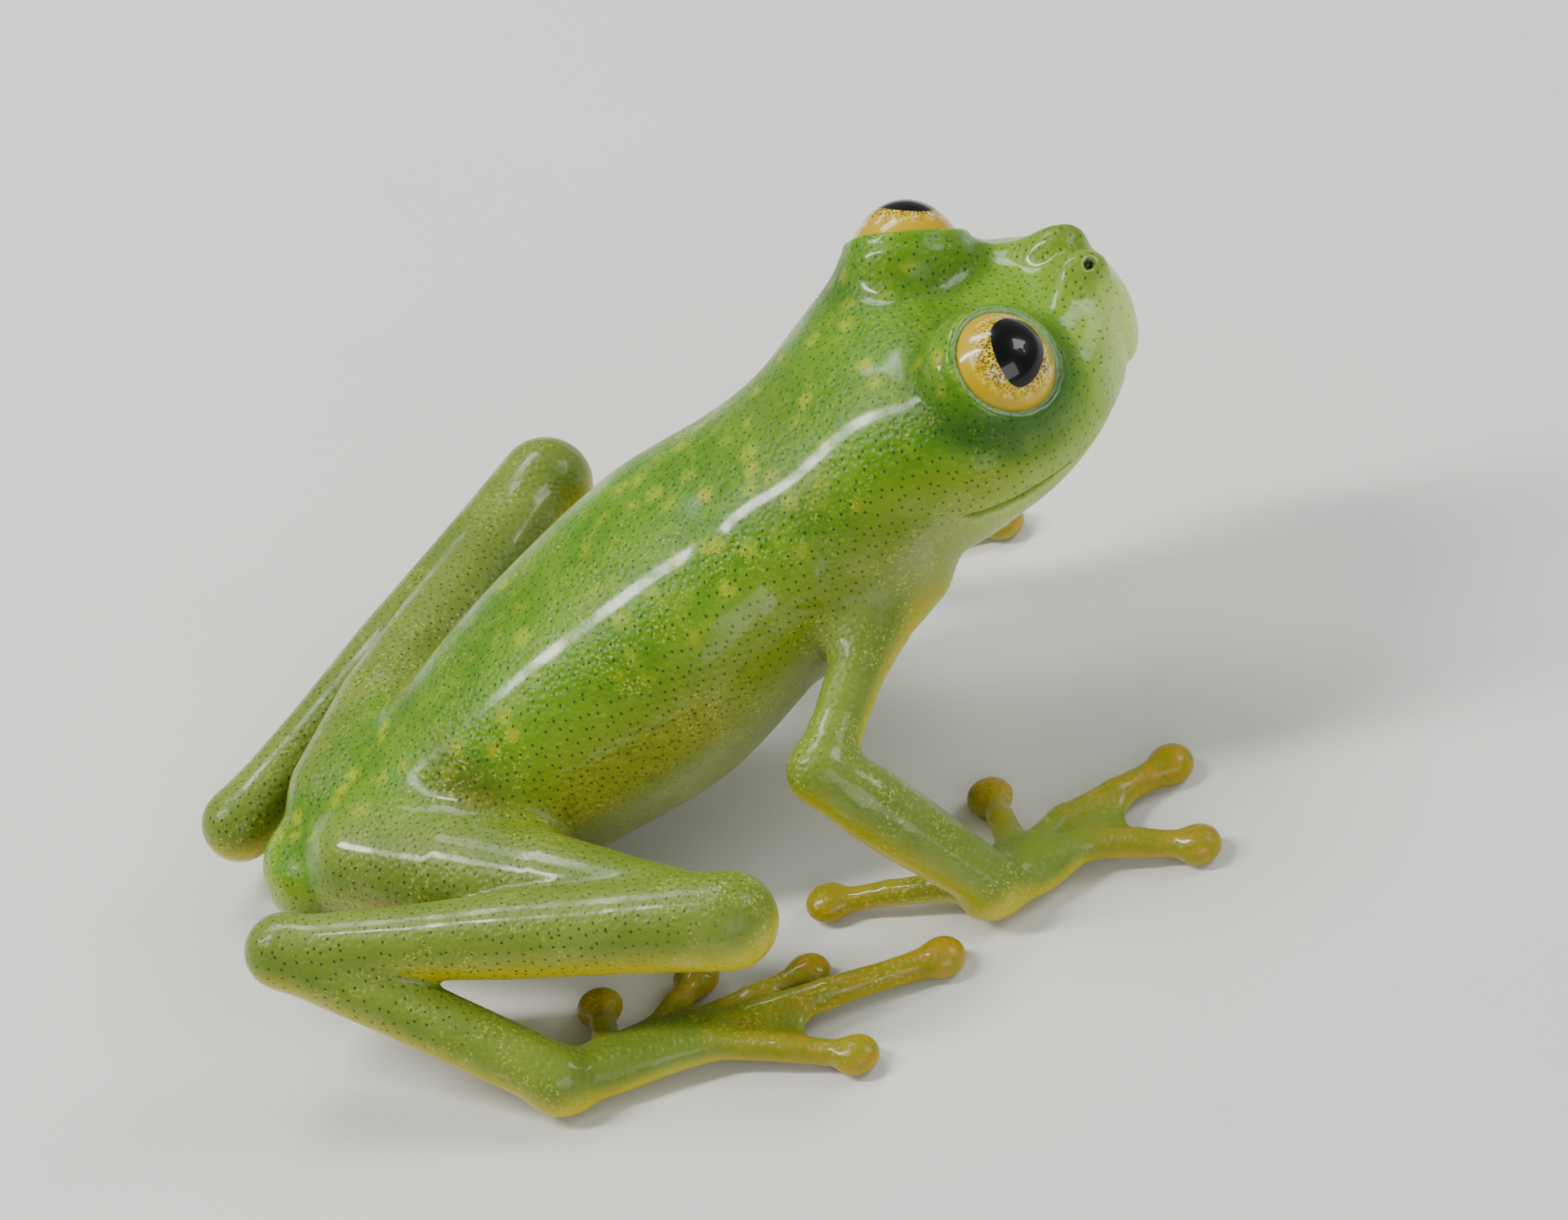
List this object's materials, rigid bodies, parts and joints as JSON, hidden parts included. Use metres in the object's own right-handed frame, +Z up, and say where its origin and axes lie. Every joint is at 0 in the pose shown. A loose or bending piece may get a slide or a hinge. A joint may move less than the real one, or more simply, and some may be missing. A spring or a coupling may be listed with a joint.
{
  "type": "glass frog",
  "caption": "life-size still model of a green glass frog at rest, body low, long legs folded, webbed hands and feet spread on the floor",
  "frame": {"origin": "on the floor, under the middle of the frog's outline seen from above", "axes": "+X forward from vent to snout, +Y to the frog's left, +Z up"},
  "size_m": [0.0244, 0.0222, 0.012],
  "materials": {
    "skin": "moist green skin with yellow spots and tiny dark dots, paler on the limbs and belly, yellow on fingers and toes",
    "eye": "clear glossy eye, gold iris flecked with black"
  },
  "bodies": {
    "root": {"trunk": "skin", "head": "skin", "eye_right": "eye", "eye_left": "eye", "upper_arm_right": "skin", "forearm_right": "skin", "hand_right": "skin", "thigh_right": "skin", "shank_right": "skin", "tarsus_right": "skin", "foot_right": "skin", "upper_arm_left": "skin", "forearm_left": "skin", "hand_left": "skin", "thigh_left": "skin", "shank_left": "skin", "tarsus_left": "skin", "foot_left": "skin"}
  },
  "joints": []
}
